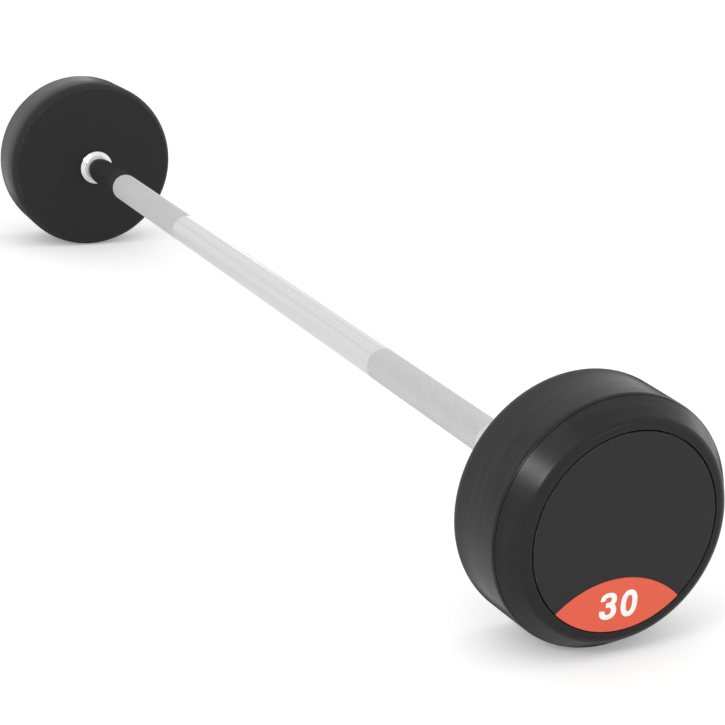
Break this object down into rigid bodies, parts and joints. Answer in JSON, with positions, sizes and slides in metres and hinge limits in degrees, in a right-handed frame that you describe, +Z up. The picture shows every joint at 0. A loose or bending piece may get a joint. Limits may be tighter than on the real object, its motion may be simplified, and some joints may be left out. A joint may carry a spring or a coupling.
{
  "type": "fixed barbell",
  "caption": "Fixed-weight barbell: a chromed steel bar with knurled grips between round rubber-clad heads, each with a chrome collar, a cover disc and a numbered label.",
  "frame": {"origin": "the middle of the bar, on its axis", "axes": "+X along the bar towards the right head, +Z up with the number labels at the bottom of both outer faces, +Y away from a viewer who faces the bar with the right head on their right"},
  "size_m": [1.25, 0.2018, 0.2018],
  "materials": {
    "chrome": "polished chrome plate",
    "rubber": "moulded, satin black",
    "cover": "moulded, matt black",
    "label": "orange-red with white digits",
    "cast_iron": "as cast",
    "turned_steel": "turned",
    "zinc_steel": "zinc plated",
    "black_steel": "black oxide"
  },
  "bodies": {
    "root": {"bar": "chrome", "right_collar": "chrome", "right_rubber_shell": "rubber", "right_weight_core": "cast_iron", "right_hub_bushing": "turned_steel", "right_drive_key": "turned_steel", "right_end_washer": "zinc_steel", "right_lock_washer": "zinc_steel", "right_end_screw": "black_steel", "right_cover_disc": "cover", "right_number_label": "label", "left_collar": "chrome", "left_rubber_shell": "rubber", "left_weight_core": "cast_iron", "left_hub_bushing": "turned_steel", "left_drive_key": "turned_steel", "left_end_washer": "zinc_steel", "left_lock_washer": "zinc_steel", "left_end_screw": "black_steel", "left_cover_disc": "cover", "left_number_label": "label"}
  },
  "joints": []
}
